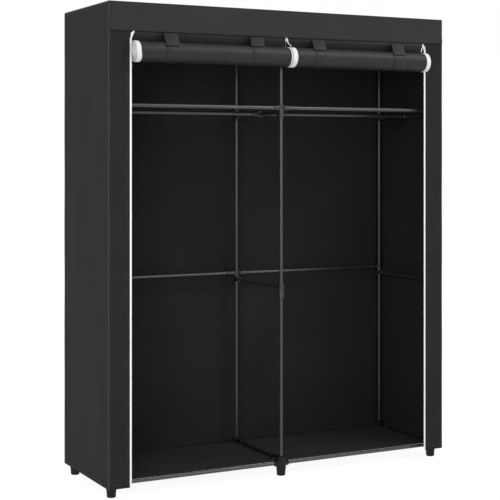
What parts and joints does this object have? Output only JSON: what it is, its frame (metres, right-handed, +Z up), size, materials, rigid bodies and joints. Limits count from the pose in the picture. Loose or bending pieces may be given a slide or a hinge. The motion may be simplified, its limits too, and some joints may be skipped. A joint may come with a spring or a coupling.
{
  "type": "portable fabric wardrobe",
  "caption": "Free-standing two-bay wardrobe: push-fit steel tube frame, hanging rods and a zipped non-woven cover with roll-up front doors.",
  "frame": {"origin": "on the floor, in the middle of the whole width and of the whole depth, the rolled doors counted in", "axes": "+Z up, +X to the right seen from the front, +Y to the back"},
  "size_m": [1.4, 0.5048, 1.72],
  "materials": {
    "post_tube": "grey powder-coated steel tube, satin",
    "rail_tube": "grey coated steel tube, satin",
    "connector_plastic": "black moulded polypropylene, fine texture",
    "cover_cloth": "black spun-bonded non-woven cloth with fine embossed dots",
    "floor_cloth": "black non-woven cloth, two layers quilted flat",
    "zip_tape": "white woven polyester zip tape with nylon coil",
    "zip_slider": "white enamelled slider and pull"
  },
  "bodies": {
    "root": {"post_left_front": "post_tube", "foot_left_front": "connector_plastic", "mid_connector_left_front": "connector_plastic", "post_left_rear": "post_tube", "foot_left_rear": "connector_plastic", "mid_connector_left_rear": "connector_plastic", "upper_connector_left_front": "connector_plastic", "upper_crossbar_left": "post_tube", "bottom_depth_bar_left": "post_tube", "mid_depth_bar_left": "post_tube", "top_depth_bar_left": "post_tube", "post_middle_front": "post_tube", "foot_middle_front": "connector_plastic", "mid_connector_middle_front": "connector_plastic", "post_middle_rear": "post_tube", "foot_middle_rear": "connector_plastic", "mid_connector_middle_rear": "connector_plastic", "upper_connector_middle_front": "connector_plastic", "upper_crossbar_middle": "post_tube", "bottom_depth_bar_middle": "post_tube", "mid_depth_bar_middle": "post_tube", "top_depth_bar_middle": "post_tube", "post_right_front": "post_tube", "foot_right_front": "connector_plastic", "mid_connector_right_front": "connector_plastic", "post_right_rear": "post_tube", "foot_right_rear": "connector_plastic", "mid_connector_right_rear": "connector_plastic", "upper_connector_right_front": "connector_plastic", "upper_crossbar_right": "post_tube", "bottom_depth_bar_right": "post_tube", "mid_depth_bar_right": "post_tube", "top_depth_bar_right": "post_tube", "top_rail_front": "post_tube", "top_rail_rear": "post_tube", "bottom_rail_front_left": "post_tube", "bottom_rail_rear_left": "post_tube", "mid_rail_rear_left": "post_tube", "front_rail_left": "rail_tube", "hanging_rod_left": "rail_tube", "bottom_rail_front_right": "post_tube", "bottom_rail_rear_right": "post_tube", "mid_rail_rear_right": "post_tube", "front_rail_right": "rail_tube", "hanging_rod_right": "rail_tube", "floor_sheet": "floor_cloth", "cover": "cover_cloth", "door_left_flap": "cover_cloth", "jamb_zip_left": "zip_tape", "door_right_flap": "cover_cloth", "jamb_zip_right": "zip_tape", "zip_slider_centre": "zip_slider"},
    "door_left": {"door_left_roll": "cover_cloth", "door_left_zip_inner": "zip_tape", "door_left_zip_outer": "zip_tape"},
    "door_right": {"door_right_roll": "cover_cloth", "door_right_zip_inner": "zip_tape", "door_right_zip_outer": "zip_tape"},
    "slider_left": {"zip_slider_left": "zip_slider"},
    "slider_right": {"zip_slider_right": "zip_slider"}
  },
  "joints": [
    {"name": "door_left_drop", "type": "slide", "parent": "root", "child": "door_left", "axis": [0, 0, -1], "range_m": [0, 1.475], "deforming": ["door_left_flap"]},
    {"name": "door_right_drop", "type": "slide", "parent": "root", "child": "door_right", "axis": [0, 0, -1], "range_m": [0, 1.475], "deforming": ["door_right_flap"]},
    {"name": "zip_left_slide", "type": "slide", "parent": "root", "child": "slider_left", "axis": [0, 0, -1], "range_m": [0, 1.56]},
    {"name": "zip_right_slide", "type": "slide", "parent": "root", "child": "slider_right", "axis": [0, 0, -1], "range_m": [0, 1.56]}
  ]
}
